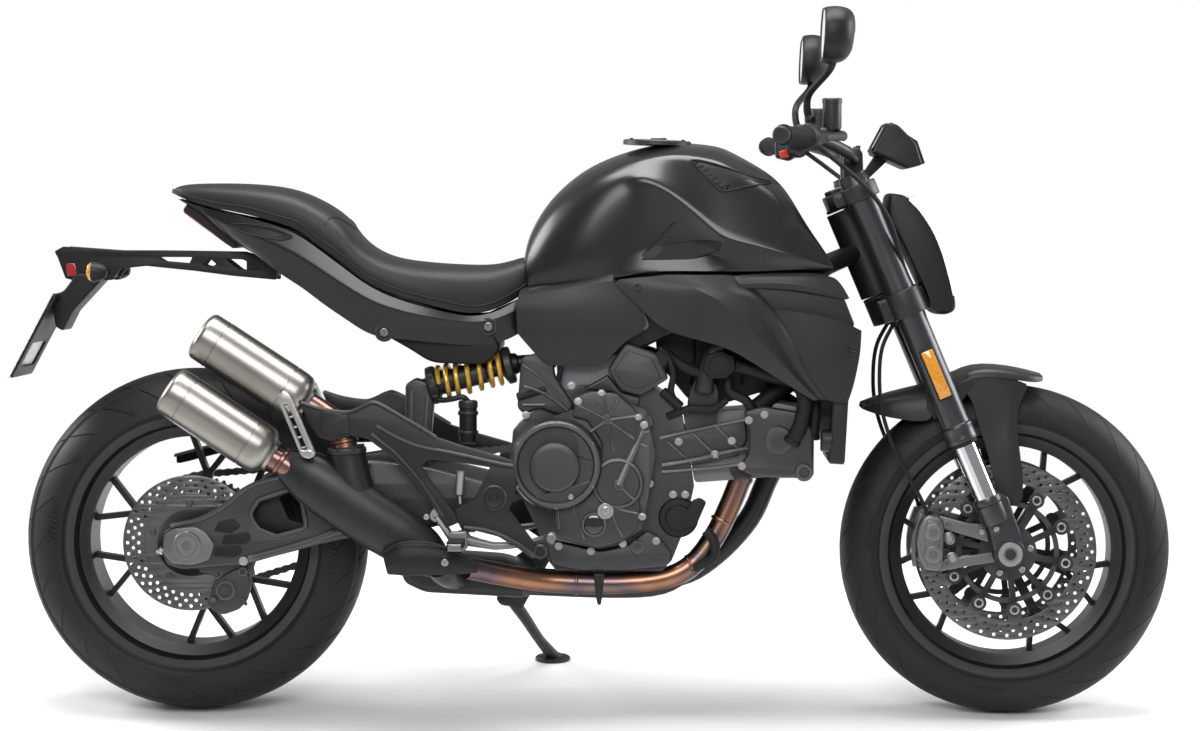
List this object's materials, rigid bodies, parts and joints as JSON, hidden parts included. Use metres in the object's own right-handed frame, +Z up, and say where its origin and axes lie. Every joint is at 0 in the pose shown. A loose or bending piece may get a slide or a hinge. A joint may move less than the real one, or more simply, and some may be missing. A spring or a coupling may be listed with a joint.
{
  "type": "standard motorcycle",
  "caption": "Naked standard motorcycle with a twin-cylinder engine, twin mufflers, double front discs and steerable fork, leaning on its side stand.",
  "frame": {"origin": "on the floor, at the middle of the box of the leaning motorcycle", "axes": "+X forward, +Y to the rider's left, +Z up from the floor; the motorcycle leans 10 degrees to +Y on its side stand"},
  "size_m": [2.1048, 0.9856, 1.3227],
  "materials": {
    "satin_black_paint": "satin black paint",
    "black_plastic": "moulded, fine grained",
    "grey_casting": "sand cast, painted dark grey",
    "black_casting": "powder coat",
    "steel": "brushed stainless",
    "header_steel": "heat tinted",
    "disc_steel": "ground",
    "chrome": "polished",
    "gold": "gold paint",
    "seat_cover": "grained vinyl",
    "tyre": "moulded rubber",
    "rubber": "moulded",
    "red_lens": "clear moulded",
    "amber_lens": "clear moulded",
    "lamp_glass": "clear moulded",
    "screen_glass": "anti-glare",
    "plate_white": "blank"
  },
  "bodies": {
    "chassis": {"engine_crankcase": "grey_casting", "engine_cylinders": "grey_casting", "engine_side_covers": "grey_casting", "main_frame": "black_casting", "rear_subframe": "black_plastic", "swingarm": "black_casting", "rear_axle": "steel", "shock_absorber": "black_casting", "shock_spring": "gold", "fuel_tank": "satin_black_paint", "airbox_covers": "black_plastic", "seat": "seat_cover", "tail_light": "red_lens", "plate_bracket": "black_casting", "number_plate": "plate_white", "rear_indicators": "amber_lens", "radiator_shrouds": "black_plastic", "radiator": "black_casting", "exhaust_pipes": "header_steel", "mufflers": "steel", "exhaust_shield": "black_casting", "peg_brackets": "black_casting", "footpegs": "steel", "foot_controls": "black_casting", "chain": "steel", "chain_guard": "black_plastic", "rear_caliper": "black_casting", "stand_bracket": "black_casting"},
    "steering": {"bottom_yoke": "black_casting", "top_yoke": "black_casting", "fork_tubes": "black_casting", "fork_sliders": "chrome", "front_axle": "steel", "handlebar": "black_casting", "grips": "rubber", "hand_controls": "black_casting", "mirrors": "black_plastic", "headlight": "lamp_glass", "display": "screen_glass", "front_mudguard": "black_plastic", "front_calipers": "grey_casting", "brake_hoses": "rubber"},
    "front_wheel": {"front_tyre": "tyre", "front_wheel": "black_casting", "front_discs": "disc_steel", "disc_carriers": "black_casting"},
    "rear_wheel": {"rear_tyre": "tyre", "rear_wheel": "black_casting", "rear_disc": "disc_steel", "rear_sprocket": "steel"},
    "side_stand": {"side_stand": "black_casting"},
    "fuel_cap": {"fuel_cap": "black_casting"}
  },
  "joints": [
    {"name": "steering", "type": "hinge", "parent": "chassis", "child": "steering", "pos_m": [0.49053, -0.06387, 0.82829], "axis": [-0.3891, 0.16, 0.9072], "range_deg": [-33, 33]},
    {"name": "front_wheel_spin", "type": "hinge", "parent": "steering", "child": "front_wheel", "pos_m": [0.75281, -0.15773, 0.29596], "axis": [0, 0.9848, -0.1736], "continuous": true},
    {"name": "rear_wheel_spin", "type": "hinge", "parent": "chassis", "child": "rear_wheel", "pos_m": [-0.72119, -0.15541, 0.30912], "axis": [0, 0.9848, -0.1736], "continuous": true},
    {"name": "side_stand_fold", "type": "hinge", "parent": "chassis", "child": "side_stand", "pos_m": [-0.16119, -0.05024, 0.18001], "axis": [0, 0.9465, 0.3226], "range_deg": [0, 100]},
    {"name": "fuel_cap_hinge", "type": "hinge", "parent": "chassis", "child": "fuel_cap", "pos_m": [0.17081, -0.02985, 1.02125], "axis": [0, 0.9848, -0.1736], "range_deg": [0, 100]}
  ]
}
